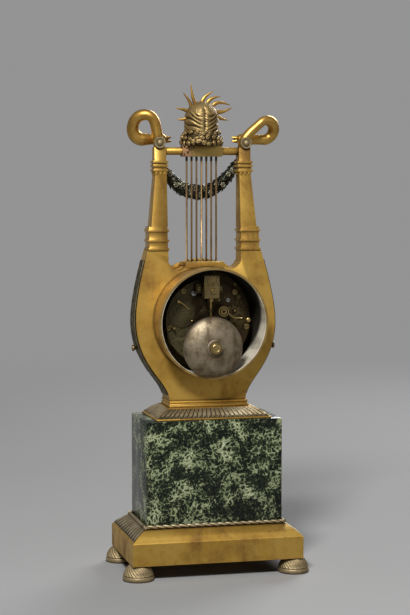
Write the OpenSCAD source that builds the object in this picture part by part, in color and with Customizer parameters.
/* [Base] */
// Width of the base slab
base_w = 185; // [176:1:200]
// Depth of the base slab
base_d = 117; // [112:1:126]
// Height of the plain sides of the slab
base_h = 24.5; // [20:0.5:30]
// Height of the convex moulding above the slab
ovolo_h = 11.5; // [9:0.5:14]
// Wall of the hollow base casting
base_wall = 4; // [3:0.5:6]
// Radius of a domed foot
foot_r = 16.5; // [14:0.5:18]
// Height of a domed foot
foot_h = 16; // [13:0.5:20]
// Distance of a foot's centre from the end of the slab
foot_inset_x = 8; // [7:0.5:12]
// Distance of a foot's centre from the front or back of the slab
foot_inset_y = 11; // [9:0.5:13]

/* [Plinth] */
// Width of the marble block
marble_w = 147; // [140:1:154]
// Depth of the marble block
marble_d = 80.5; // [77:0.5:86]
// Height of the marble block
marble_h = 112.5; // [95:0.5:130]
// Thickness of the rope moulding round its foot
rope_d = 4; // [3:0.5:5]
// Width of the moulding on top of the marble
cap_w = 125; // [118:1:135]
// Depth of the moulding on top of the marble
cap_d = 75; // [72:0.5:78]
// Height of the moulding on top of the marble
cap_h = 11; // [9:0.5:14]
// Radius of the long bolt that ties lyre, marble and base together
tie_r = 4; // [3:0.5:5]

/* [Lyre] */
// Width of the stepped foot of the lyre
lyre_foot_w = 86.7; // [84.5:0.5:91]
// Height of the stepped foot of the lyre
lyre_foot_h = 6.7; // [5.5:0.1:9]
// Half width at the waist, just above the foot
waist_hw = 41.8; // [40:0.1:42]
// Half width at the belly
belly_hw = 76.6; // [75:0.1:80]
// Height of the widest place above the foot
belly_up = 85; // [82:0.5:88]
// Half width of the body under the arms
shoulder_hw = 62.5; // [61.5:0.1:64]
// Height of the shoulders above the foot
shoulder_up = 160; // [158:0.5:164]
// Half of the free width between the arms
gap_hw = 40.2; // [39:0.1:41]
// Plane of the flat front, in front of the centre of the base
front_y = 27; // [26:0.5:28]
// Depth of the body at its foot
body_depth = 36; // [34:0.5:38]
// Forward lean of the back face, in degrees
back_lean = 4.9; // [4.5:0.1:5.2]
// Wall of the hollow body
body_wall = 3; // [2.5:0.5:4]
// Height of an arm above the shoulder
arm_h = 110; // [104:1:114]

/* [Crown] */
// Radius of the swan neck tube
neck_r = 5.9; // [5:0.1:6]
// Mean radius of the loops of the swan necks
loop_r = 12.3; // [12:0.1:14]
// Mean distance of a loop's centre from the middle
loop_x = 66.5; // [64:0.5:68]
// Radius of the crossbar
bar_r = 4.15; // [3.5:0.05:4.5]
// Width of the block that holds the upper ends of the strings
block_w = 43.6; // [42:0.2:46]
// Number of strings
strings_n = 7; // [5:1:7]
// Radius of a string
string_r = 1; // [0.8:0.1:1.3]
// Radius of the head
head_r = 20; // [18:0.5:21]
// Length of the longest ray beyond the head
ray_len = 21.3; // [16:0.1:24]

/* [Clock case] */
// Height of the dial centre above the foot of the lyre
dial_up = 84.3; // [84:0.1:84.8]
// Inner radius of the drum
drum_r = 56.2; // [55.5:0.1:56.4]
// Wall of the drum
drum_wall = 1.4; // [1.2:0.1:1.6]
// Rear edge of the drum, behind the centre of the base
drum_back = 37; // [34:0.5:38]
// Outer radius of the front bezel
bezel_r = 66; // [64:0.5:67]
// Width of the fixed ring of the bezel
bezel_w = 8.75; // [8.4:0.05:9.5]
// Radius of the bell
bell_r = 32.3; // [30:0.1:33]
// Height of the bell from rim to crown
bell_h = 12.5; // [11:0.5:15]
// Thickness of the bell
bell_t = 1.4; // [1.2:0.1:1.8]

/* [Movement] */
// Radius of the rear plate
plate_r = 46; // [45.6:0.1:47]
// Thickness of both plates
plate_t = 2; // [1.8:0.1:2.2]
// Free space between the plates
plate_gap = 28; // [27.8:0.1:28.4]
// Radius of a pillar between the plates
pillar_r = 2.6; // [2.2:0.1:2.7]
// Distance of a winding square from the upright centre line
barrel_x = 21; // [20.8:0.1:21.4]
// Depth of a winding square under the dial centre
barrel_drop = 15.5; // [15:0.1:15.8]
// Radius of a spring barrel
barrel_r = 16; // [15:0.1:16.4]
// Radial running clearance of every pivot
run_gap = 0.05; // [0.03:0.01:0.08]
// Distance from the pendulum's bending point to the centre of the bob
pendulum_len = 76.5; // [74:0.5:77]
// Radius of the pendulum bob
bob_r = 12.5; // [10:0.5:13]

/* [Hidden] */
$fn = 48;

// Colours
GILT = "#b98f45";
DARK_GILT = "#8a6a35";
BRASS = "#c9a75c";
STEEL = "#8d8f92";
MARBLE = "#2c3a33";
BRONZE = "#2e3226";
ENAMEL = "#f3f0e6";
GLASS = "#cfe3ea";
BLUED = "#26304f";

// Heights, from the floor up
slab_top = foot_h + base_h;
base_top = slab_top + ovolo_h;
marble_top = base_top + marble_h;
cap_top = marble_top + cap_h;
lyre_z = cap_top + lyre_foot_h;
shoulder_z = lyre_z + shoulder_up;
arm_top = shoulder_z + arm_h;
dial_z = lyre_z + dial_up;

// Base and plinth
EPS = 0.01;
moulding_swell = 0.12;
base_top_w = marble_w + 3;
base_top_d = marble_d + 3;
cap_top_w = lyre_foot_w + 6;
cap_top_d = 51.5;
lyre_foot_d = 42;
lyre_foot_y = -7;
tie_y = body_depth / 2 - front_y;
tie_boss_h = 12;
tie_clear = 0.5;
stud_r = 4;
stud_up = 12;
boss_wall = 5;

// Lyre outline
throat_up = dial_up + drum_r + drum_wall + 1.5;
throat_r = 11;
flare = [waist_hw + 0.43 * (belly_hw - waist_hw), 0.337 * belly_up];
flare_dir = [cos(53.6), sin(53.6)];
back_plate_t = 2.5;
curve_n = 10;

// Arms, measured from the shoulder up
collar_h = 25.5;
collar_hw = 10;
shaft_top = 84;
crown_h = 11;
shaft_low_x = 58;
shaft_high_x = 52.4;
fillet_out = 1.2;
fillet_h = 2.6;
arm_pin_r = 3;
arm_pin_len = 2.8;
neck_x = 46.6;
neck_hw = 6.3;
crown_hw = 6.9;
collar_x = gap_hw + collar_hw + 0.3;
arm_pin_y = -16;
side_stud_r = 2;
side_stud_y = -10;
side_stud_z = lyre_z + 56;
neck_bolt_r = 2;
neck_bolt_z = arm_top + 5;

// Crown
neck_y = -20.5;
beak_x = 36;
brow_x = 46;
beak_y = -front_y - fillet_out - neck_r - 0.4;
loop_z = arm_top + 20;
loop_wider = 1.7;
loop_nearer = 7;
loop_higher = 0.5;
bar_y = neck_y;
bar_z = arm_top - 3.9;
bar_in = 3;
block_d = 13;
block_h = 11.6;
block_low = bar_z - block_h / 2;
string_step = 5.45;
string_in = 1.2;
bridge_w = 44.3;
bridge_h = 4;
bridge_top = lyre_z + throat_up + bridge_h;
bridge_front = 26.5;
bridge_back = 9.3;
head_y = neck_y;
head_z = block_low + block_h + 27.5;
curl_r = 6.2;
curl_ring = 18;
ray_t = 3;
ray_n = 9;
ray_reach = [0.4, 0.62, 0.85, 1, 0.66, 0.62, 0.68, 0.72, 0.38];
ray_curl = [-6, -4, 5, 4, 16, 15, 18, 6, 12];
swag_x = 45;
swag_z = arm_top - 14;
swag_sag = 34;
swag_y = -front_y - 9;
swag_tip_r = 5;
swag_swell = 4.5;
swag_pin_r = 1.4;
swag_pin_in = 1.6;
swag_pin_drop = 2.5;
head_neck_r = 6;

// Clock case
fit_gap = 0.05;
drum_out = drum_r + drum_wall;
press_gap = 0.02;
slip_gap = 0.15;
dial_t = 1.2;
dial_r = drum_r - 0.4;
inner_y = -21;
plate_front = inner_y - plate_t;
seat_front = -front_y - 1;
seat_in = drum_r - 4.7;
drum_front = seat_front - dial_t - slip_gap;
rear_bead = 1.4;
bezel_t = 4.3;
door_gap = 0.3;
door_back = -front_y - bezel_t - door_gap;
door_t = 6;
door_w = 14;
door_out = bezel_r - 2;
door_in = door_out - door_w;
glass_lip = 1;
glass_t = 1.4;
glass_rise = 6;
hinge_x = bezel_r + 2.4;
hinge_y = door_back - 0.6;
hinge_r = 2;
hinge_pin_r = 0.9;
knuckle_half = 4;
knuckle_len = 5;

// Tooth counts and modules
great_n = 80;
strike_great_n = 76;
great_m = 0.45;
inter_leaves = 12;
inter_n = 66;
inter_m = 0.4;
centre_leaves = 10;
centre_n = 84;
centre_m = 0.32;
third_leaves = 7;
third_n = 84;
third_m = 0.3;
escape_leaves = 7;
escape_n = 45;
escape_r = 8.4;
second_leaves = 12;
second_n = 72;
second_m = 0.36;
pin_leaves = 8;
pin_n = 70;
pin_m = 0.3;
stop_leaves = 7;
stop_n = 56;
stop_m = 0.28;
fly_leaves = 7;
cannon_n = 12;
minute_n = 36;
motion_m = 0.4;
hour_leaves = 10;
hour_n = 40;
motion_d = gear_distance(cannon_n, minute_n, motion_m);
hour_m = 2 * motion_d / (hour_leaves + hour_n);

// Places of the arbors, from the dial centre, x to the right and y up
CENTRE = [0, 0];
GOING = [barrel_x, -barrel_drop];
STRIKE = [-barrel_x, -barrel_drop];
ESCAPE = [0, 24];
ANCHOR = [0, 36];
INTER = meet(CENTRE, gear_distance(inter_n, centre_leaves, inter_m),
    GOING, gear_distance(great_n, inter_leaves, great_m), -1);
THIRD = meet(CENTRE, gear_distance(centre_n, third_leaves, centre_m),
    ESCAPE, gear_distance(third_n, escape_leaves, third_m), -1);
SECOND = STRIKE + polar(gear_distance(strike_great_n, second_leaves, great_m), 110.7);
PIN = SECOND + polar(gear_distance(second_n, pin_leaves, second_m), 85);
STOP = PIN + polar(gear_distance(pin_n, stop_leaves, pin_m), 45);
FLY = STOP + polar(gear_distance(stop_n, fly_leaves, stop_m), 70);
MINUTE = polar(motion_d, 150);
HAMMER = [-13.6, 11.6];
PILLARS = [[-42.3, -6], [42.3, -6], [0, -41], [27, 33], [-29.5, 31.2]];
LEVER = [-33, 26];

// Depth of each wheel behind the inner face of the front plate
lv_centre = 1;
lv_great = 3.2;
lv_stop = 9;
lv_third = 12.8;
lv_pin = 15.2;
lv_escape = 20;
lv_back = 23.6;
wheel_t = 1.2;
great_t = 2;
leaf_extra = 0.6;
barrel_back = 22;
end_shake = 0.3;
pivot_in = 0.2;
hub_r = 3;

// Arbor and pivot radii
arbor_r = 0.9;
pivot_r = 0.6;
fine_arbor_r = 0.55;
fine_pivot_r = 0.4;
centre_r = 1.2;
wind_r = 2.4;
wind_back_r = 1.6;
hammer_r = 1;
anchor_hole_r = 4;
PIVOTS = [[INTER, pivot_r, pivot_r], [CENTRE, centre_r, pivot_r], [THIRD, fine_pivot_r, fine_pivot_r],
    [ESCAPE, fine_pivot_r, fine_pivot_r], [SECOND, pivot_r, arbor_r], [PIN, fine_pivot_r, fine_pivot_r],
    [STOP, fine_pivot_r, fine_pivot_r], [FLY, fine_pivot_r, fine_pivot_r],
    [GOING, wind_r, wind_back_r], [STRIKE, wind_r, wind_back_r], [HAMMER, pivot_r, hammer_r],
    [ANCHOR, fine_pivot_r, anchor_hole_r]];

// Motion work and hands, depths counted from the inner face of the front plate
motion_t = 1.3;
motion_low = -plate_t - 0.7 - motion_t;
hour_low = motion_low - 0.4 - wheel_t;
minute_stud_r = 0.8;
minute_stud_len = hour_low + plate_t;
dial_foot_r = 44;
dial_pin_r = 1;
hour_pipe_r = 3;
cannon_r = 1.8;
hand_t = 0.8;
hour_hand_d = seat_front - inner_y - dial_t - 2.8;
minute_hand_d = hour_hand_d - 1.9;
hour_hand_len = 29;
minute_hand_len = 43;
hour_angle = -305;
minute_angle = -60;

// Fasteners of the movement
pillar_pin_r = 1.6;
pillar_bolt_r = 1.2;
pillar_tap = 6;
seat_screw_r = 1;
seat_screw_at = (seat_in + drum_r) / 2;
cock_foot_x = 11;
COCK_FEET = [ANCHOR - [cock_foot_x, 0], ANCHOR + [cock_foot_x, 0]];
pin_ring_r = 9.2;
pin_n_lift = 10;

// Behind the rear plate
rear_d = plate_gap + plate_t;
cock_gap = 4;
cock_t = 3;
cock_w = 30;
cock_h = 10;
suspension_w = 16.5;
suspension_d = 11;
suspension_low = 25.6;
suspension_room = 6.1;
suspension_h = drum_r - suspension_room - suspension_low;
rod_d = rear_d + cock_gap + cock_t + suspension_d / 2;
rod_r = 1.1;
spring_t = 0.3;
spring_w = 5;
slot_w = 1.6;
spring_low = 9;
spring_up = 4;
bob_t = 7;
pallet_crown = [2, 2];
pallet_bend = [8, -5.2];
pallet_x = 9;
pallet_toe = 3.4;
pallet_pit = [6.2, -6.4];
pallet_root = 2.2;
crutch_len = 24;
crutch_t = 1.2;
fork_gap = 0.25;
count_r = 13.5;
count_d = rear_d + 0.8;
BELL = [2.2, -24.8];
bell_rim_y = drum_back + 1.6;
bell_hole_r = 2;
bell_post = [21, -30];
post_r = 2.2;
hammer_reach = [-21.9, -7.6];
hammer_d = bell_rim_y + 2.4 - inner_y;

// Distance between the arbors of a wheel and a pinion
function gear_distance(a, b, m) = (a + b) * m / 2;
// Point at a distance and an angle
function polar(r, a) = [r * cos(a), r * sin(a)];
// Point at distance ra from a and rb from b, on the side given by s
function meet(a, ra, b, rb, s) =
    let (v = b - a, l = norm(v), u = v / l, k = (ra * ra - rb * rb + l * l) / (2 * l))
    a + u * k + s * sqrt(ra * ra - k * k) * [-u.y, u.x];
// Direction from one point to another, in degrees
function heading(a, b) = atan2(b.y - a.y, b.x - a.x);
// Point on a cubic curve with four control points
function cubic(p, t) =
    pow(1 - t, 3) * p[0] + 3 * t * pow(1 - t, 2) * p[1] + 3 * t * t * (1 - t) * p[2] + pow(t, 3) * p[3];
// Smooth step from 0 to 1
function ease(t) = let (c = min(max(t, 0), 1)) c * c * (3 - 2 * c);
// Outline of a toothed wheel with one tooth pointing at the given angle
function teeth(n, m, add, ded, part, tip, a) =
    let (r = n * m / 2, p = 360 / n)
    [for (i = [0 : n - 1], q = [[-ded, -0.5], [0, -0.5], [0.55 * add, -0.36], [add, -tip / 2],
        [add, tip / 2], [0.55 * add, 0.36], [0, 0.5], [-ded, 0.5]])
        polar(r + q[0] * m, a + i * p + q[1] * part * p)];
// Half outline of the lyre body from foot to shoulder
function half_outline() =
    let (low = [[waist_hw, 0], [waist_hw, 10], flare - 12 * flare_dir, flare],
        mid = [flare, flare + 24 * flare_dir, [belly_hw, belly_up - 20], [belly_hw, belly_up]],
        high = [[belly_hw, belly_up], [belly_hw, belly_up + 22],
            [shoulder_hw + 6, shoulder_up - 23], [shoulder_hw, shoulder_up]])
    concat([for (c = [low, mid, high], i = [0 : curve_n - 1]) cubic(c, i / curve_n)],
        [[shoulder_hw, shoulder_up], [gap_hw, shoulder_up]],
        [for (a = [0 : 15 : 90]) [gap_hw - throat_r, throat_up + throat_r] + polar(throat_r, -a)]);
// Whole outline of the lyre body, anticlockwise
function outline() =
    let (h = half_outline(), n = len(h))
    concat(h, [for (i = [n - 1 : -1 : 0]) [-h[i].x, h[i].y]]);
// The same outline moved inwards
function inset(p, d) =
    let (n = len(p))
    [for (i = [0 : n - 1]) let (t = p[(i + 1) % n] - p[(i + n - 1) % n]) p[i] + d * [-t.y, t.x] / norm(t)];

// Turns a flat drawing upright, so that its y is height and its z runs to the back
module upright() {
    rotate([90, 0, 0]) mirror([0, 0, 1]) children();
}
// Places a piece of the movement by its arbor and its depth behind the front plate
module train(p, d) {
    translate([p.x, inner_y + d, dial_z + p.y]) upright() children();
}
// Rise of a moulding that swells a little above a straight slope
function swelling(t) = t + moulding_swell * sin(180 * t);
// Rectangle with a moulded edge: the profile lists the share of the set-in and the height
module moulded(w, d, top_w, top_d, profile) {
    top = profile[len(profile) - 1][1];
    intersection() {
        rotate([90, 0, 0]) linear_extrude(d, center = true) half_profile(w, top_w, profile, top);
        rotate([90, 0, 90]) linear_extrude(w, center = true) half_profile(d, top_d, profile, top);
    }
}
module half_profile(w, top_w, profile, top) {
    right = [for (q = profile) [w / 2 - q[0] * (w - top_w) / 2, q[1]]];
    n = len(right);
    polygon(concat(right, [for (i = [n - 1 : -1 : 0]) [-right[i].x, right[i].y]]));
}
// Space behind the leaning back face, moved out by the given distance
module behind(out) {
    translate([0, body_depth - front_y + out, lyre_z])
        rotate([back_lean, 0, 0]) translate([-150, 0, -40]) cube([300, 120, 420]);
}
// Upright slice of the lyre, from its front plane to its leaning back face
module slice(points, front_out, back_out) {
    difference() {
        translate([0, -front_y - front_out, 0]) upright()
            linear_extrude(body_depth + front_out + 10) polygon(points);
        behind(back_out);
    }
}
function lifted(p) = [for (q = p) q + [0, lyre_z]];
function box_points(x0, x1, z0, z1) = [[x0, z0], [x1, z0], [x1, z1], [x0, z1]];
// Crossed-out train wheel with one tooth pointing at the given angle
module wheel(n, m, a, thick, hub) {
    rim = n * m / 2 - 2.6 * m - 0.6;
    spoke = 1.3;
    difference() {
        linear_extrude(thick) polygon(teeth(n, m, 1, 1.2, 0.44, 0.25, a));
        translate([0, 0, -1]) difference() {
            cylinder(h = thick + 2, r = rim);
            translate([0, 0, -1]) cylinder(h = thick + 4, r = hub);
            for (k = [0, 90]) rotate(k + 45) cube([2 * rim + 2, spoke, 3 * thick + 6], center = true);
        }
    }
}
// Pinion with a gap between two leaves facing the given angle
module pinion(n, m, a, thick) {
    linear_extrude(thick) polygon(teeth(n, m, 0.75, 1.35, 0.36, 0.45, a + 180 / n));
}
// Arbor between the plates with a pivot at each end
module arbor(r, front_pivot, rear_pivot, rear_out) {
    translate([0, 0, end_shake]) cylinder(h = plate_gap - 2 * end_shake, r = r);
    translate([0, 0, pivot_in - plate_t]) cylinder(h = plate_t + end_shake, r = front_pivot);
    translate([0, 0, plate_gap - end_shake - EPS])
        cylinder(h = end_shake + EPS + rear_out, r = rear_pivot);
}
// Tube along a list of centres with a radius at each, closed at both ends
module sweep(centres, radii, sides) {
    n = len(centres);
    rings = [for (i = [0 : n - 1])
        let (t = centres[min(i + 1, n - 1)] - centres[max(i - 1, 0)], u = t / norm(t),
            s = cross(u, [0, 1, 0]) / norm(cross(u, [0, 1, 0])), v = cross(s, u))
        for (k = [0 : sides - 1]) let (q = polar(radii[i], 360 * k / sides))
            centres[i] + q.x * s + q.y * v];
    faces = concat([[for (k = [0 : sides - 1]) k]],
        [for (i = [0 : n - 2], k = [0 : sides - 1]) let (a = i * sides, b = a + sides, j = (k + 1) % sides)
            each [[a + k, b + k, a + j], [a + j, b + k, b + j]]],
        [[for (k = [sides - 1 : -1 : 0]) (n - 1) * sides + k]]);
    polyhedron(points = rings, faces = faces);
}

// Four domed feet on a plain rim, each with a stud that screws into the base
module feet() {
    rim_h = 3.2;
    rim_out = 0.4;
    dome_r = 14;
    dome_low = 4;
    color(DARK_GILT) for (x = [-1, 1], y = [-1, 1])
        translate([x * (base_w / 2 - foot_inset_x), y * (base_d / 2 - foot_inset_y), 0]) {
            rotate_extrude() {
                square([foot_r, rim_h]);
                intersection() {
                    translate([foot_r - rim_out - dome_r, dome_low]) circle(dome_r);
                    square([foot_r, foot_h]);
                }
            }
            translate([0, 0, foot_h - EPS]) cylinder(h = stud_up, r = stud_r);
        }
}
// Hollow base: slab, convex moulding, four bosses for the feet
module base_plinth() {
    profile = concat([[0, 0], [0, base_h - 1], [0.06, base_h]],
        [for (t = [0 : 0.125 : 1]) [0.1 + 0.9 * t, base_h + 0.6 + (ovolo_h - 0.6) * swelling(t)]]);
    inner_h = base_h - base_wall;
    color(GILT) translate([0, 0, foot_h]) difference() {
        moulded(base_w, base_d, base_top_w, base_top_d, profile);
        difference() {
            translate([-base_w / 2 + base_wall, -base_d / 2 + base_wall, -1])
                cube([base_w - 2 * base_wall, base_d - 2 * base_wall, inner_h + 1]);
            for (x = [-1, 1], y = [-1, 1])
                translate([x * (base_w / 2 - foot_inset_x), y * (base_d / 2 - foot_inset_y), -2])
                    cylinder(h = inner_h + 4, r = stud_r + boss_wall);
        }
        for (x = [-1, 1], y = [-1, 1])
            translate([x * (base_w / 2 - foot_inset_x), y * (base_d / 2 - foot_inset_y), -1])
                cylinder(h = stud_up + 2, r = stud_r + fit_gap);
        translate([0, tie_y, 0]) cylinder(h = base_h + ovolo_h + 1, r = tie_r + tie_clear);
    }
}
// Half-round moulding round the foot of the marble
module rope_moulding() {
    r = rope_d / 2;
    profile = [for (a = [-90 : 15 : 90]) [1 - cos(a), r + r * sin(a)]];
    color(GILT) translate([0, 0, base_top]) difference() {
        intersection() {
            rotate([90, 0, 0]) linear_extrude(marble_d + 2 * rope_d, center = true)
                rope_profile(marble_w, profile);
            rotate([90, 0, 90]) linear_extrude(marble_w + 2 * rope_d, center = true)
                rope_profile(marble_d, profile);
        }
        translate([-marble_w / 2, -marble_d / 2, -1]) cube([marble_w, marble_d, rope_d + 2]);
    }
}
module rope_profile(w, profile) {
    right = [for (q = profile) [w / 2 + rope_d / 2 + (1 - q[0]) * rope_d / 2, q[1]]];
    n = len(right);
    polygon(concat(right, [for (i = [n - 1 : -1 : 0]) [-right[i].x, right[i].y]]));
}
// Marble block with a hole for the tie bolt
module marble_block() {
    color(MARBLE) difference() {
        translate([-marble_w / 2, -marble_d / 2, base_top]) cube([marble_w, marble_d, marble_h]);
        translate([0, tie_y, base_top - 1]) cylinder(h = marble_h + 2, r = tie_r + tie_clear);
    }
}
// Convex moulding on the marble
module cap_moulding() {
    lip = 2;
    profile = concat([[0, 0], [0, lip], [0.05, lip]],
        [for (t = [0 : 0.125 : 1]) [0.08 + 0.92 * t, lip + (cap_h - lip) * swelling(t)]]);
    color(GILT) difference() {
        translate([0, 0, marble_top]) moulded(cap_w, cap_d, cap_top_w, cap_top_d, profile);
        translate([0, tie_y, marble_top - 1]) cylinder(h = cap_h + 2, r = tie_r + tie_clear);
    }
}
// Stepped foot under the lyre
module lyre_foot() {
    top_w = 2 * waist_hw + 1;
    h = lyre_foot_h;
    profile = [[0, 0], [0, 0.36 * h], [0.7, 0.45 * h], [0.9, 0.6 * h], [0.4, 0.72 * h],
        [0.4, 0.95 * h], [0.7, h]];
    color(GILT) difference() {
        translate([0, lyre_foot_y, cap_top])
            moulded(lyre_foot_w, lyre_foot_d, top_w, lyre_foot_d - 4, profile);
        translate([0, tie_y, cap_top - 1]) cylinder(h = h + 2, r = tie_r + tie_clear);
    }
}
// Long bolt from the hollow of the base up into the lyre
module tie_bolt() {
    seat = slab_top - base_wall;
    head_h = 6;
    washer_t = 2;
    color(STEEL) translate([0, tie_y, 0]) {
        translate([0, 0, seat - washer_t - head_h]) cylinder(h = head_h + EPS, r = 2 * tie_r, $fn = 6);
        translate([0, 0, seat - washer_t]) cylinder(h = washer_t, r = 3.2 * tie_r);
        translate([0, 0, seat - EPS]) cylinder(h = lyre_z + tie_boss_h - 1 - seat, r = tie_r);
    }
}
// Hollow lyre body: front and sides, open towards the back plate
module lyre_body() {
    boss_r = tie_r + 6;
    color(GILT) difference() {
        slice(lifted(outline()), 0, -back_plate_t);
        difference() {
            translate([0, body_wall - front_y, 0]) upright()
                linear_extrude(body_depth + 10) polygon(lifted(inset(outline(), body_wall)));
            translate([0, tie_y, lyre_z - 1]) cylinder(h = tie_boss_h + 1, r = boss_r);
        }
        drum_bore();
        translate([0, tie_y, lyre_z - 1]) cylinder(h = tie_boss_h + 2, r = tie_r + fit_gap);
        for (s = [-1, 1]) {
            translate([s * collar_x, arm_pin_y, shoulder_z - 2 * body_wall])
                cylinder(h = 3 * body_wall, r = arm_pin_r + fit_gap);
            translate([s * (belly_hw - 20), side_stud_y, side_stud_z]) rotate([0, s * 90, 0])
                cylinder(h = 30, r = side_stud_r + fit_gap);
        }
    }
}
// Round way through the body for the drum
module drum_bore() {
    translate([0, 0, dial_z]) upright() translate([0, 0, -60]) cylinder(h = 120, r = drum_out + fit_gap);
}
// Flat plate that closes the back of the body
module lyre_back() {
    color(GILT) difference() {
        slice(lifted(outline()), 0, 0);
        difference() {
            translate([-150, -60, lyre_z - 50]) cube([300, 160, 400]);
            behind(-back_plate_t);
        }
        drum_bore();
    }
}
// Arm of the lyre: lower collar, tapering shaft, upper collar and neck
module arm(s) {
    z = shoulder_z;
    low = box_points(collar_x - collar_hw, collar_x + collar_hw, z, z + collar_h);
    shaft = [[gap_hw, z + collar_h - EPS], [shaft_low_x, z + collar_h - EPS],
        [shaft_high_x, z + shaft_top], [gap_hw, z + shaft_top]];
    crown = box_points(neck_x - crown_hw, neck_x + crown_hw, z + shaft_top - EPS, z + shaft_top + crown_h);
    neck = box_points(neck_x - neck_hw, neck_x + neck_hw, z + shaft_top + crown_h - EPS, arm_top);
    mirror([s < 0 ? 1 : 0, 0, 0]) color(GILT) difference() {
        union() {
            for (p = [low, shaft, crown, neck]) slice(p, 0, 0);
            for (q = [0, 0.36, 0.78]) fillet(collar_x, collar_hw, z + q * collar_h);
            for (q = [0, 0.46, 0.82]) fillet(neck_x, crown_hw, z + shaft_top + q * crown_h);
            translate([collar_x, arm_pin_y, z - arm_pin_len]) cylinder(h = arm_pin_len + 1, r = arm_pin_r);
        }
        translate([gap_hw - 5, bar_y, bar_z]) rotate([0, 90, 0])
            cylinder(h = neck_x - neck_hw - gap_hw + 5 + bar_in, r = bar_r + fit_gap);
    }
}
// Raised band round an arm
module fillet(x, hw, z) {
    slice(box_points(x - hw - fillet_out, x + hw + fillet_out, z, z + fillet_h), fillet_out, fillet_out);
}
module arm_left() {
    arm(-1);
}
module arm_right() {
    arm(1);
}
// Centre line of a swan neck: up from the arm, over the loop, back in front of the arm.
// The loops are bent by eye: the right one is wider and stands nearer to the middle
function swan_path(s) =
    let (start = [neck_x, arm_top + 2], r = loop_r + s * loop_wider,
        hub = [loop_x - s * loop_nearer, loop_z + s * loop_higher], l = norm(hub - start),
        first = heading(start, hub) + asin(r / l) + 90, reach = sqrt(l * l - r * r),
        dir = polar(1, first - 90), rise_n = 5, arc_n = 26, tail_n = 9)
    concat([[neck_x, neck_y, arm_top]],
        [for (i = [0 : rise_n - 1]) let (p = start + dir * reach * i / rise_n) [p.x, neck_y, p.y]],
        [for (i = [0 : arc_n]) let (t = i / arc_n, p = hub + polar(r, first - t * (first + 90)))
            [p.x, neck_y + (beak_y - neck_y) * ease(1.15 * t), p.y]],
        [for (i = [1 : tail_n]) [hub.x - i / tail_n * (hub.x - beak_x), beak_y, hub.y - r]]);
// Radius along the neck: even tube, rounded head, narrow beak
function swan_radius(p) =
    p.y > beak_y + EPS || p.x > brow_x + neck_r ? neck_r
    : p.x > brow_x ? neck_r + 0.3
    : neck_r * (0.12 + 0.9 * pow((p.x - beak_x) / (brow_x - beak_x), 0.8));
module swan(s) {
    path = swan_path(s);
    mirror([s < 0 ? 1 : 0, 0, 0]) color(GILT) difference() {
        sweep(path, [for (p = path) swan_radius(p)], 16);
        translate([neck_x + 1, neck_y, neck_bolt_z]) upright() cylinder(h = 20, r = neck_bolt_r + fit_gap);
    }
}
module swan_left() {
    swan(-1);
}
module swan_right() {
    swan(1);
}
// Domed bolts behind the swan necks and studs in the sides of the body
module case_bolts() {
    rim_r = 6.3;
    rim_t = 2.2;
    rim_off = 0.6;
    dome_r = 2.4;
    stud_head_r = 3.4;
    stud_head_t = 2.2;
    stud_in = 8;
    color(BRASS) for (s = [-1, 1]) {
        translate([s * (neck_x + 1), neck_y, neck_bolt_z]) upright() {
            translate([0, 0, EPS]) cylinder(h = neck_r + rim_t, r = neck_bolt_r);
            translate([0, 0, neck_r + rim_off]) cylinder(h = rim_t, r = rim_r);
            translate([0, 0, neck_r + rim_off + dome_r]) sphere(dome_r);
        }
        translate([s * (belly_hw - stud_in), side_stud_y, side_stud_z]) rotate([0, s * 90, 0]) {
            cylinder(h = stud_in + stud_head_t / 2, r = side_stud_r);
            translate([0, 0, stud_in]) cylinder(h = stud_head_t, r = stud_head_r);
        }
    }
}
// Round bar between the arms
module crossbar() {
    half = neck_x - neck_hw + bar_in - 0.2;
    color(DARK_GILT) translate([-half, bar_y, bar_z]) rotate([0, 90, 0]) cylinder(h = 2 * half, r = bar_r);
}
// Block on the crossbar that takes the upper ends of the strings
module string_block() {
    color(GILT) difference() {
        translate([-block_w / 2, bar_y - block_d / 2, block_low]) cube([block_w, block_d, block_h]);
        translate([-block_w, bar_y, bar_z]) rotate([0, 90, 0])
            cylinder(h = 2 * block_w, r = bar_r + fit_gap);
        string_holes(block_low - 1, string_in + 1);
    }
}
module string_holes(z, h) {
    for (i = [0 : strings_n - 1]) translate([(i - (strings_n - 1) / 2) * string_step, bar_y, z])
        cylinder(h = h, r = string_r + fit_gap);
}
// Metal rods in the place of strings
module strings() {
    low = bridge_top - string_in;
    color(BRASS) for (i = [0 : strings_n - 1])
        translate([(i - (strings_n - 1) / 2) * string_step, bar_y, low])
            cylinder(h = block_low + string_in - low - 0.1, r = string_r);
}
// Bridge on the body that takes the lower ends of the strings
module bridge() {
    color(GILT) difference() {
        translate([-bridge_w / 2, -bridge_front, lyre_z + throat_up])
            cube([bridge_w, bridge_front - bridge_back, bridge_h]);
        string_holes(bridge_top - string_in - 0.1, string_in + 1);
    }
}
// Swag that hangs in front of the arms
module garland() {
    n = 28;
    path = [for (i = [0 : n]) let (t = 2 * i / n - 1)
        [t * swag_x, swag_y, swag_z - swag_sag * (1 - pow(abs(t), 2.2))]];
    color(BRONZE) {
        sweep(path, [for (p = path) swag_tip_r + swag_swell * pow(1 - pow(p.x / swag_x, 2), 0.7)], 12);
        for (s = [-1, 1]) translate([s * (swag_x - swag_pin_in), swag_y, swag_z - swag_pin_drop]) upright()
            cylinder(h = -front_y - fillet_out - swag_y, r = swag_pin_r);
    }
}
// Head on the string block: skull, roll of curls, short neck, nose
module sun_head() {
    color(GILT) translate([0, head_y, head_z]) {
        sphere(head_r, $fn = 64);
        translate([0, 0, block_low + block_h - head_z]) {
            cylinder(h = head_r, r = head_neck_r);
            translate([0, 0, curl_r]) rotate_extrude() translate([curl_ring, 0]) circle(curl_r);
            translate([0, 0, curl_r]) cylinder(h = head_r * 0.6, r = curl_ring);
        }
    }
}
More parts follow.
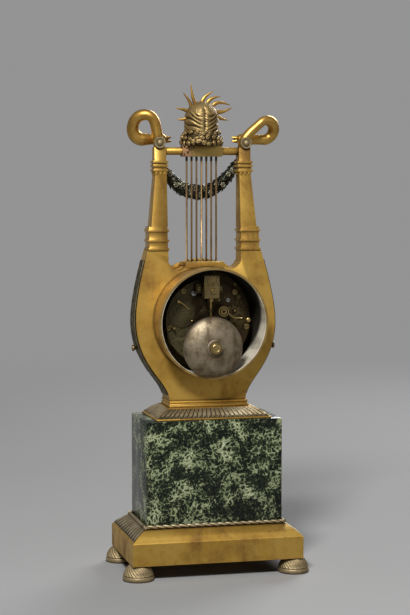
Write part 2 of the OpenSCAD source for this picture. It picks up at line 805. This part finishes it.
// Flame-shaped rays round the head
module sun_rays() {
    color(GILT) difference() {
        translate([0, head_y - ray_t / 2, head_z]) upright() linear_extrude(ray_t)
            for (i = [0 : ray_n - 1]) polygon(ray_outline(10 + 20 * i, ray_reach[i], ray_curl[i]));
        translate([0, head_y, head_z]) sphere(head_r, $fn = 64);
    }
}
// Outline of one ray, bent sideways towards its tip
function ray_outline(a, share, curl) =
    let (n = 6, reach = ray_len * share,
        mid = [for (i = [0 : n]) let (t = i / n)
            polar(head_r - 1.5 + (reach + 1.5) * t, a + curl * t * t)],
        half = [for (i = [0 : n]) let (t = i / n) 3.1 * (1 - t) + 0.5 * sin(180 * t) + 0.2],
        side = polar(1, a + 90))
    concat([for (i = [0 : n]) mid[i] - half[i] * side], [for (i = [n : -1 : 0]) mid[i] + half[i] * side]);
// Drum through the body, with an inner seat for the movement and a bead at the rear edge
module drum() {
    color(BRASS) translate([0, 0, dial_z]) upright() difference() {
        union() {
            translate([0, 0, drum_front]) cylinder(h = drum_back - drum_front, r = drum_out);
            translate([0, 0, drum_back - 2 * rear_bead])
                cylinder(h = 2 * rear_bead, r = drum_out + rear_bead);
        }
        translate([0, 0, plate_front]) cylinder(h = 100, r = drum_r);
        translate([0, 0, seat_front - 1]) cylinder(h = 50, r = seat_in);
        translate([0, 0, drum_front - 1]) cylinder(h = seat_front - drum_front + 1, r = drum_r);
        seat_holes(plate_front - 3.4, 4);
    }
}
module seat_holes(z, h) {
    for (k = [0 : 3]) rotate(45 + 90 * k) translate([seat_screw_at, 0, z])
        cylinder(h = h, r = seat_screw_r + run_gap);
}
// Fixed ring on the front of the body, with the two outer knuckles of the hinge
module bezel_ring() {
    back = -front_y;
    color(GILT) translate([0, 0, dial_z]) difference() {
        union() {
            upright() translate([0, 0, back - bezel_t]) cylinder(h = bezel_t, r = bezel_r);
            for (s = [-1, 1]) translate([0, 0, s * (knuckle_half + door_gap + knuckle_len / 2)]) {
                translate([bezel_r - 3, back - bezel_t, -knuckle_len / 2])
                    cube([hinge_x - bezel_r + 3, bezel_t, knuckle_len]);
                translate([hinge_x, hinge_y, 0]) cylinder(h = knuckle_len, r = hinge_r, center = true);
            }
        }
        upright() translate([0, 0, drum_front - fit_gap]) cylinder(h = 2 * bezel_t, r = drum_out + fit_gap);
        upright() translate([0, 0, back - bezel_t - 1]) cylinder(h = bezel_t + 2, r = bezel_r - bezel_w);
        translate([hinge_x, hinge_y, 0]) cylinder(h = 40, r = hinge_pin_r + run_gap, center = true);
    }
}
// Opening front ring that holds the glass
module bezel_door() {
    color(GILT) translate([0, 0, dial_z]) difference() {
        union() {
            upright() translate([0, 0, door_back - door_t]) cylinder(h = door_t, r = door_out);
            translate([door_out - 2, door_back - 3, -knuckle_half])
                cube([hinge_x - door_out + 2, 2.4, 2 * knuckle_half]);
            translate([hinge_x, hinge_y, 0]) cylinder(h = 2 * knuckle_half, r = hinge_r, center = true);
        }
        upright() {
            translate([0, 0, door_back - door_t + glass_lip]) cylinder(h = 40, r = door_in + 2.8);
            translate([0, 0, door_back - door_t - 1]) cylinder(h = 40, r = door_in);
        }
        translate([hinge_x, hinge_y, 0]) cylinder(h = 40, r = hinge_pin_r + run_gap, center = true);
    }
}
// Domed glass in the front ring
module bezel_glass() {
    seat = door_back - door_t + glass_lip;
    edge = door_in - 0.3;
    n = 10;
    dome = [for (i = [0 : n]) let (r = edge * i / n) [r, -glass_rise * (1 - pow(r / edge, 2))]];
    color(GLASS) translate([0, 0, dial_z]) upright() translate([0, 0, seat]) rotate_extrude($fn = 64)
        polygon(concat(dome, [[edge, 0], [door_in + 2.6, 0], [door_in + 2.6, glass_t]],
            [for (i = [n : -1 : 0]) dome[i] + [0, glass_t]]));
}
// Pin of the front hinge
module hinge_pin() {
    half = knuckle_half + door_gap + knuckle_len + 0.6;
    color(STEEL) translate([hinge_x, hinge_y, dial_z])
        cylinder(h = 2 * half, r = hinge_pin_r, center = true);
}
// Enamel dial with holes for the hands and the winding squares, on three feet
module dial() {
    color(ENAMEL) train(CENTRE, seat_front - inner_y) difference() {
        union() {
            translate([0, 0, -dial_t]) cylinder(h = dial_t, r = dial_r);
            for (k = [0 : 2]) rotate(30 + 120 * k) translate([dial_foot_r, 0, -EPS])
                cylinder(h = plate_front - seat_front + plate_t, r = dial_pin_r);
        }
        translate([0, 0, -dial_t - 1]) cylinder(h = dial_t + 2, r = hour_pipe_r + 0.6);
        for (p = [GOING, STRIKE]) translate([p.x, p.y, -dial_t - 1])
            cylinder(h = dial_t + 2, r = wind_r + 1);
    }
}
// Hand with a ring near its tip, pointing up before it is turned
module hand(len, hub, bore, a) {
    ring = len * 0.72;
    ring_r = len * 0.075;
    color(BLUED) rotate(a) difference() {
        union() {
            cylinder(h = hand_t, r = hub);
            linear_extrude(hand_t) polygon([[-1.3, 0], [1.3, 0], [0.7, ring], [-0.7, ring]]);
            translate([0, ring, 0]) cylinder(h = hand_t, r = ring_r);
            linear_extrude(hand_t) polygon([[-1.1, ring], [1.1, ring], [0.15, len], [-0.15, len]]);
        }
        translate([0, 0, -1]) cylinder(h = hand_t + 2, r = bore);
        translate([0, ring, -1]) cylinder(h = hand_t + 2, r = ring_r * 0.55);
    }
}
module hour_hand() {
    train(CENTRE, hour_hand_d) hand(hour_hand_len, hour_pipe_r + 2, hour_pipe_r + press_gap, hour_angle);
}
module minute_hand() {
    train(CENTRE, minute_hand_d) hand(minute_hand_len, cannon_r + 2.2, cannon_r + press_gap, minute_angle);
}
// Front plate, as wide as the drum, with a stud for the minute wheel
module front_plate() {
    color(BRASS) train(CENTRE, -plate_t) difference() {
        union() {
            cylinder(h = plate_t, r = drum_r - 0.3);
            translate([MINUTE.x, MINUTE.y, minute_stud_len])
                cylinder(h = plate_t / 2 - minute_stud_len, r = minute_stud_r);
        }
        for (q = PIVOTS) translate([q[0].x, q[0].y, -1]) cylinder(h = plate_t + 2, r = q[1] + run_gap);
        for (p = PILLARS) translate([p.x, p.y, -1]) cylinder(h = plate_t + 2, r = pillar_pin_r + run_gap);
        for (k = [0 : 2]) rotate(30 + 120 * k) translate([dial_foot_r, 0, -1])
            cylinder(h = plate_t + 2, r = dial_pin_r + run_gap);
        seat_holes(-1, plate_t + 2);
    }
}
// Rear plate with a raised round seat
module back_plate() {
    color(BRASS) train(CENTRE, plate_gap) difference() {
        union() {
            cylinder(h = plate_t, r = plate_r);
            translate([28.5, 8.5, plate_t - EPS]) cylinder(h = 1, r = 14.3);
        }
        for (q = PIVOTS) translate([q[0].x, q[0].y, -1]) cylinder(h = plate_t + 3, r = q[2] + run_gap);
        for (p = PILLARS) translate([p.x, p.y, -1]) cylinder(h = plate_t + 3, r = pillar_bolt_r + run_gap);
        for (p = concat(COCK_FEET, [bell_post, LEVER])) translate([p.x, p.y, -1])
            cylinder(h = plate_t + 2, r = pillar_bolt_r + run_gap);
    }
}
// Pillars that hold the plates apart
module pillars() {
    color(BRASS) for (p = PILLARS) train(p, 0) difference() {
        union() {
            cylinder(h = plate_gap, r = pillar_r);
            translate([0, 0, -plate_t]) cylinder(h = plate_t + EPS, r = pillar_pin_r);
        }
        translate([0, 0, plate_gap - pillar_tap]) cylinder(h = pillar_tap + 1, r = pillar_bolt_r + run_gap);
    }
}
// Slotted screws: pillars, cock and the rim of the front plate
module movement_screws() {
    color(STEEL) {
        for (p = PILLARS) train(p, rear_d) screw(pillar_bolt_r, plate_t + pillar_tap - 1, 3, 1.6);
        for (p = COCK_FEET) train(p, rear_d + cock_gap + cock_t)
            screw(pillar_bolt_r, cock_gap + cock_t + plate_t - 0.4, 2.4, 1.4);
        for (k = [0 : 3]) train(polar(seat_screw_at, 45 + 90 * k), 0)
            screw(seat_screw_r, plate_t + 3, 2, 1.2);
    }
}
module screw(r, shank, head_r, head_h) {
    difference() {
        union() {
            cylinder(h = head_h, r = head_r);
            translate([0, 0, -shank]) cylinder(h = shank + EPS, r = r);
        }
        translate([-head_r - 1, -0.35, head_h / 2]) cube([2 * head_r + 2, 0.7, head_h]);
    }
}
// Spring barrel with its great wheel
module barrel(p, n, a) {
    color(BRASS) train(p, 0) difference() {
        union() {
            translate([0, 0, lv_great]) linear_extrude(great_t)
                polygon(teeth(n, great_m, 1, 1.2, 0.44, 0.25, a));
            translate([0, 0, lv_great + great_t - EPS])
                cylinder(h = barrel_back - lv_great - great_t, r = barrel_r);
        }
        cylinder(h = plate_gap, r = wind_r + run_gap);
    }
}
module going_barrel() {
    barrel(GOING, great_n, heading(GOING, INTER));
}
module strike_barrel() {
    barrel(STRIKE, strike_great_n, heading(STRIKE, SECOND));
}
// Winding arbor with a square for the key
module winding_arbor(p) {
    square_w = 3.2;
    collar_r = 4.5;
    shoulder = plate_t + 0.6;
    square_end = seat_front - inner_y - dial_t - 1;
    color(STEEL) train(p, 0) {
        translate([0, 0, -shoulder]) cylinder(h = plate_gap - end_shake + shoulder, r = wind_r);
        translate([0, 0, plate_gap - end_shake - EPS])
            cylinder(h = plate_t + end_shake - pivot_in, r = wind_back_r);
        translate([0, 0, end_shake]) cylinder(h = lv_great - 2 * end_shake, r = collar_r);
        translate([0, 0, barrel_back + end_shake])
            cylinder(h = plate_gap - barrel_back - 2 * end_shake, r = collar_r);
        translate([-square_w / 2, -square_w / 2, square_end])
            cube([square_w, square_w, -shoulder - square_end + EPS]);
    }
}
module going_arbor() {
    winding_arbor(GOING);
}
module strike_arbor() {
    winding_arbor(STRIKE);
}
// Wheel and pinion on one arbor, each turned to face its mate
module wheel_set(p, wn, wm, wl, wa, pn, pm, pl, pa, pt, r, pivot, rear_pivot, rear_out) {
    color(BRASS) train(p, 0) {
        arbor(r, pivot, rear_pivot, rear_out);
        translate([0, 0, wl]) wheel(wn, wm, wa, wheel_t, hub_r);
        translate([0, 0, pl - leaf_extra]) pinion(pn, pm, pa, pt + 2 * leaf_extra);
    }
}
module intermediate_wheel() {
    wheel_set(INTER, inter_n, inter_m, lv_back, heading(INTER, CENTRE), inter_leaves, great_m, lv_great,
        heading(INTER, GOING), great_t, arbor_r, pivot_r, pivot_r, plate_t - pivot_in);
}
module centre_wheel() {
    color(BRASS) train(CENTRE, 0) {
        arbor(centre_r, centre_r, pivot_r, plate_t - pivot_in);
        translate([0, 0, minute_hand_d - 0.6]) cylinder(h = -minute_hand_d, r = centre_r);
        translate([0, 0, lv_centre]) wheel(centre_n, centre_m, heading(CENTRE, THIRD), wheel_t, hub_r);
        translate([0, 0, lv_back - leaf_extra])
            pinion(centre_leaves, inter_m, heading(CENTRE, INTER), wheel_t + 2 * leaf_extra);
    }
}
module third_wheel() {
    wheel_set(THIRD, third_n, third_m, lv_third, heading(THIRD, ESCAPE), third_leaves, centre_m, lv_centre,
        heading(THIRD, CENTRE), wheel_t, fine_arbor_r, fine_pivot_r, fine_pivot_r, plate_t - pivot_in);
}
// Escape wheel with pointed teeth
module escape_wheel() {
    p = 360 / escape_n;
    tooth = [[-1.5, 0], [0, 0.35], [0, 0.45], [-1.5, 0.75]];
    color(BRASS) train(ESCAPE, 0) {
        arbor(fine_arbor_r, fine_pivot_r, fine_pivot_r, plate_t - pivot_in);
        translate([0, 0, lv_escape]) difference() {
            linear_extrude(wheel_t) polygon([for (i = [0 : escape_n - 1], q = tooth)
                polar(escape_r + q[0], (i + q[1]) * p)]);
            for (k = [0 : 3]) rotate(45 + 90 * k) translate([0.43 * escape_r, 0, -1])
                cylinder(h = wheel_t + 2, r = 1.6);
        }
        translate([0, 0, lv_third - leaf_extra])
            pinion(escape_leaves, third_m, heading(ESCAPE, THIRD), wheel_t + 2 * leaf_extra);
    }
}
// Pipe with the pinion that drives the minute wheel and carries the minute hand
module cannon_pinion() {
    color(STEEL) train(CENTRE, 0) difference() {
        union() {
            translate([0, 0, minute_hand_d])
                cylinder(h = -plate_t - end_shake - minute_hand_d, r = cannon_r);
            translate([0, 0, motion_low])
                pinion(cannon_n, motion_m, heading(CENTRE, MINUTE), motion_t + end_shake);
        }
        translate([0, 0, minute_hand_d - 1]) cylinder(h = 40, r = centre_r + press_gap);
    }
}
// Wheel and pinion that turn on a stud of the front plate
module minute_wheel() {
    color(BRASS) train(MINUTE, 0) difference() {
        union() {
            translate([0, 0, motion_low])
                wheel(minute_n, motion_m, heading(MINUTE, CENTRE), motion_t, hub_r);
            translate([0, 0, hour_low])
                pinion(hour_leaves, hour_m, heading(MINUTE, CENTRE), motion_low - hour_low + EPS);
        }
        translate([0, 0, hour_low - 1]) cylinder(h = 10, r = minute_stud_r + run_gap);
    }
}
module hour_wheel() {
    color(BRASS) train(CENTRE, 0) difference() {
        union() {
            translate([0, 0, hour_low])
                wheel(hour_n, hour_m, heading(CENTRE, MINUTE), wheel_t, hour_pipe_r + 0.6);
            translate([0, 0, hour_hand_d]) cylinder(h = hour_low + wheel_t - hour_hand_d, r = hour_pipe_r);
        }
        translate([0, 0, hour_hand_d - 1])
            cylinder(h = hour_low + wheel_t - hour_hand_d + 2, r = cannon_r + slip_gap);
    }
}
// Pallets, their arbor and the crutch that reaches back to the pendulum
module anchor() {
    tip = escape_r + 0.9;
    drop = ANCHOR.y - ESCAPE.y;
    arm = [pallet_crown, pallet_bend, [pallet_x, pallet_toe - drop], pallet_pit];
    crutch_z = rear_d + 1.2;
    tine_t = 0.8;
    tine_h = 1.6;
    tine_x = rod_r + fork_gap + tine_t / 2;
    fork_end = rod_d + rod_r + 1;
    color(STEEL) train(ANCHOR, 0) {
        translate([0, 0, end_shake]) cylinder(h = rear_d + cock_gap - 2 * end_shake, r = arbor_r);
        translate([0, 0, pivot_in - plate_t]) cylinder(h = plate_t + end_shake, r = fine_pivot_r);
        translate([0, 0, rear_d + cock_gap - end_shake - EPS]) cylinder(h = cock_t, r = pivot_r);
        translate([0, 0, lv_escape]) difference() {
            linear_extrude(wheel_t) polygon(concat(arm, [[0, -pallet_root]],
                [for (i = [len(arm) - 1 : -1 : 0]) [-arm[i].x, arm[i].y]]));
            translate([0, -drop, -1]) cylinder(h = wheel_t + 2, r = tip);
        }
        translate([-crutch_t, -crutch_len, crutch_z]) cube([2 * crutch_t, crutch_len + tine_h, crutch_t]);
        for (s = [-1, 1]) translate([s * tine_x - tine_t / 2, -crutch_len, crutch_z + crutch_t - EPS])
            cube([tine_t, tine_h, fork_end - crutch_z - crutch_t]);
        translate([-tine_x - tine_t / 2, -crutch_len, crutch_z])
            cube([2 * tine_x + tine_t, tine_h, 1.5 * crutch_t]);
    }
}
// Bridge on the rear plate for the rear pivot of the pallet arbor
module back_cock() {
    foot_w = cock_w - 2 * cock_foot_x;
    color(BRASS) train(ANCHOR, rear_d) difference() {
        union() {
            translate([-cock_w / 2, -cock_h / 2, cock_gap]) cube([cock_w, cock_h, cock_t]);
            for (s = [-1, 1]) translate([s * cock_foot_x - foot_w / 2, -cock_h / 2, 0])
                cube([foot_w, cock_h, cock_gap + EPS]);
        }
        translate([0, 0, cock_gap - 1]) cylinder(h = cock_t + 2, r = pivot_r + run_gap);
        for (s = [-1, 1]) translate([s * cock_foot_x, 0, -1])
            cylinder(h = cock_gap + cock_t + 2, r = pillar_bolt_r + run_gap);
    }
}
// Block with the slot from which the pendulum spring hangs
module suspension_block() {
    grip = 6;
    slot_top = ANCHOR.y - suspension_low + grip;
    leg_w = 5.2;
    rib_w = 1.6;
    rib_h = 8;
    rib_n = 4;
    color(BRASS) train([0, suspension_low], rear_d + cock_gap + cock_t) difference() {
        union() {
            translate([-suspension_w / 2, slot_top - grip, 0])
                cube([suspension_w, suspension_h - slot_top + grip, suspension_d]);
            for (i = [0 : rib_n - 1]) translate([((i + 0.5) / rib_n - 0.5) * suspension_w - rib_w / 2,
                suspension_h - rib_h - 1, suspension_d - EPS]) cube([rib_w, rib_h, 1]);
            for (s = [-1, 1]) translate([s * (suspension_w - leg_w) / 2 - leg_w / 2, 0, 0])
                cube([leg_w, slot_top, suspension_d]);
        }
        translate([-slot_w / 2, -1, -1]) cube([slot_w, slot_top + 1, suspension_d + 2]);
    }
}
// Thin strip on which the pendulum swings
module suspension_spring() {
    color(BLUED) train(ANCHOR, rod_d) translate([-spring_t / 2, -spring_low, -spring_w / 2])
        cube([spring_t, spring_low + spring_up, spring_w]);
}
// Pendulum rod with its upper clip
module pendulum_rod() {
    clip_w = 3.6;
    clip_h = 4.5;
    color(STEEL) train(ANCHOR, rod_d) {
        translate([-clip_w / 2, -spring_low - clip_h, -spring_w / 2 - 0.5])
            cube([clip_w, clip_h, spring_w + 1]);
        translate([0, -spring_low - clip_h + EPS, 0]) rotate([90, 0, 0])
            cylinder(h = pendulum_len + bob_r + 1.5 - spring_low - clip_h, r = rod_r);
    }
}
// Lens-shaped bob
module pendulum_bob() {
    n = 6;
    rim = 0.8;
    half = [for (i = [0 : n]) let (t = i / n)
        [bob_r * (1 - t), rim + (bob_t / 2 - rim) * (1 - pow(1 - t, 2))]];
    color(BRASS) train(ANCHOR - [0, pendulum_len], rod_d) difference() {
        rotate_extrude() polygon(concat(half, [for (i = [n : -1 : 0]) [half[i].x, -half[i].y]]));
        rotate([90, 30, 0]) cylinder(h = 3 * bob_r, r = rod_r + press_gap, center = true);
    }
}
// Second wheel of the striking train, whose arbor carries the count wheel
module second_wheel() {
    wheel_set(SECOND, second_n, second_m, lv_back, heading(SECOND, PIN), second_leaves, great_m, lv_great,
        heading(SECOND, STRIKE), great_t, arbor_r, pivot_r, arbor_r, plate_t + 2.2);
}
// Notched wheel that counts the blows of twelve hours
module count_wheel() {
    notch_w = 1.1;
    notch_d = 2.2;
    color(BRASS) train(SECOND, count_d) difference() {
        cylinder(h = wheel_t, r = count_r);
        for (h = [1 : 12]) rotate(4 * h * (h + 3) / 2)
            translate([count_r - notch_d, -notch_w / 2, -1]) cube([2 * notch_d, notch_w, wheel_t + 2]);
        for (k = [0 : 3]) rotate(90 * k) translate([count_r / 2, 0, -1]) cylinder(h = wheel_t + 2, r = 2.6);
        translate([0, 0, -1]) cylinder(h = wheel_t + 2, r = arbor_r + press_gap);
    }
}
// Lever that feels for the notches
module count_lever() {
    reach = norm(LEVER - SECOND) - count_r - 0.6;
    color(STEEL) train(LEVER, rear_d) {
        translate([0, 0, -plate_t]) cylinder(h = plate_t + 3.2, r = pillar_bolt_r);
        translate([0, 0, 0.4]) cylinder(h = 2.4, r = 2.4);
        rotate(heading(LEVER, SECOND)) translate([0, -0.8, 0.8]) cube([reach, 1.6, 1.2]);
    }
}
// Wheel whose pins lift the hammer
module pin_wheel() {
    wheel_set(PIN, pin_n, pin_m, lv_pin, heading(PIN, STOP), pin_leaves, second_m, lv_back,
        heading(PIN, SECOND), wheel_t, fine_arbor_r, fine_pivot_r, fine_pivot_r, plate_t - pivot_in);
    color(STEEL) train(PIN, lv_pin + wheel_t - pivot_in) for (k = [0 : pin_n_lift - 1])
        rotate(360 * k / pin_n_lift) translate([pin_ring_r, 0, 0]) cylinder(h = 3, r = 0.45);
}
module stop_wheel() {
    wheel_set(STOP, stop_n, stop_m, lv_stop, heading(STOP, FLY), stop_leaves, pin_m, lv_pin,
        heading(STOP, PIN), wheel_t, fine_arbor_r, fine_pivot_r, fine_pivot_r, plate_t - pivot_in);
}
// Fan that slows the striking
module fly() {
    color(STEEL) train(FLY, 0) {
        arbor(fine_arbor_r, fine_pivot_r, fine_pivot_r, plate_t - pivot_in);
        translate([0, 0, lv_stop - leaf_extra])
            pinion(fly_leaves, stop_m, heading(FLY, STOP), wheel_t + 2 * leaf_extra);
        translate([-5.5, -0.4, 13]) cube([11, 0.8, 9]);
    }
}
// Hammer: arbor, lifting tail, bent wire and ball
module hammer() {
    tail = norm(HAMMER - PIN) - pin_ring_r - 1;
    wire_r = 0.9;
    ball_r = 2.8;
    collet_d = rear_d + 2.6;
    arm_d = rear_d + 4.6;
    color(STEEL) train(HAMMER, 0) {
        arbor(hammer_r, pivot_r, hammer_r, plate_t + 6);
        rotate(heading(HAMMER, PIN)) translate([0, -0.7, lv_pin + wheel_t + 0.6]) cube([tail, 1.4, 1.8]);
        translate([0, 0, collet_d]) cylinder(h = 5, r = 5.4);
        rotate(heading([0, 0], hammer_reach)) {
            translate([4, 0, arm_d]) rotate([0, 90, 0]) cylinder(h = norm(hammer_reach) - 4, r = wire_r);
            translate([norm(hammer_reach), 0, arm_d - wire_r])
                cylinder(h = hammer_d - arm_d + wire_r, r = wire_r + 0.3);
            translate([norm(hammer_reach), 0, hammer_d]) sphere(ball_r);
        }
    }
}
// Post, cross arm and stud that carry the bell
module bell_stand() {
    arm_in = 4;
    foot_r = 4;
    foot_t = 3;
    thread_len = 4.4;
    thin = 0.4;
    arm_y = bell_rim_y + arm_in - inner_y;
    crown = bell_rim_y + bell_h - inner_y - arm_y;
    reach = norm(BELL - bell_post);
    color(STEEL) {
        train(bell_post, rear_d) {
            translate([0, 0, -plate_t]) cylinder(h = plate_t + EPS, r = pillar_bolt_r);
            cylinder(h = arm_y - rear_d, r = post_r);
            cylinder(h = foot_t, r = foot_r);
        }
        train(bell_post, arm_y) rotate(heading(bell_post, BELL)) {
            sphere(post_r + thin);
            rotate([0, 90, 0]) cylinder(h = reach, r = post_r - thin);
        }
        train(BELL, arm_y) {
            translate([0, 0, -post_r]) cylinder(h = crown - bell_t - fit_gap + post_r, r = foot_r);
            cylinder(h = crown + thread_len, r = bell_hole_r);
        }
    }
}
// Bell with its rim towards the movement
module bell() {
    n = 14;
    curve = [for (i = [0 : n]) let (a = 90 * i / n) [pow(cos(a), 0.75) * bell_r, bell_h * sin(a)]];
    inner = [for (i = [n : -1 : 0]) let (a = 90 * i / n)
        [pow(cos(a), 0.75) * (bell_r - bell_t), (bell_h - bell_t) * sin(a)]];
    color(STEEL) train(BELL, bell_rim_y - inner_y) difference() {
        rotate_extrude($fn = 96) polygon(concat(curve, inner));
        cylinder(h = bell_h + 1, r = bell_hole_r + fit_gap);
    }
}
// Washer and round nut on the bell
module bell_nut() {
    washer = [9.2, 1];
    nut = [6.4, 3];
    step = [4.6, 0.8];
    color(BRASS) train(BELL, bell_rim_y + bell_h - inner_y) difference() {
        union() {
            cylinder(h = washer[1], r = washer[0]);
            translate([0, 0, washer[1] - EPS]) cylinder(h = nut[1], r = nut[0]);
            translate([0, 0, washer[1] + nut[1] - 2 * EPS]) cylinder(h = step[1], r = step[0]);
        }
        translate([0, 0, -1]) cylinder(h = 8, r = bell_hole_r + fit_gap);
    }
}

feet();
base_plinth();
rope_moulding();
marble_block();
cap_moulding();
lyre_foot();
tie_bolt();
lyre_body();
lyre_back();
arm_left();
arm_right();
swan_left();
swan_right();
case_bolts();
crossbar();
string_block();
strings();
bridge();
garland();
sun_head();
sun_rays();
drum();
bezel_ring();
bezel_door();
bezel_glass();
hinge_pin();
dial();
hour_hand();
minute_hand();
front_plate();
back_plate();
pillars();
movement_screws();
going_barrel();
going_arbor();
strike_barrel();
strike_arbor();
intermediate_wheel();
centre_wheel();
cannon_pinion();
minute_wheel();
hour_wheel();
third_wheel();
escape_wheel();
anchor();
back_cock();
suspension_block();
suspension_spring();
pendulum_rod();
pendulum_bob();
second_wheel();
count_wheel();
count_lever();
pin_wheel();
stop_wheel();
fly();
hammer();
bell_stand();
bell();
bell_nut();
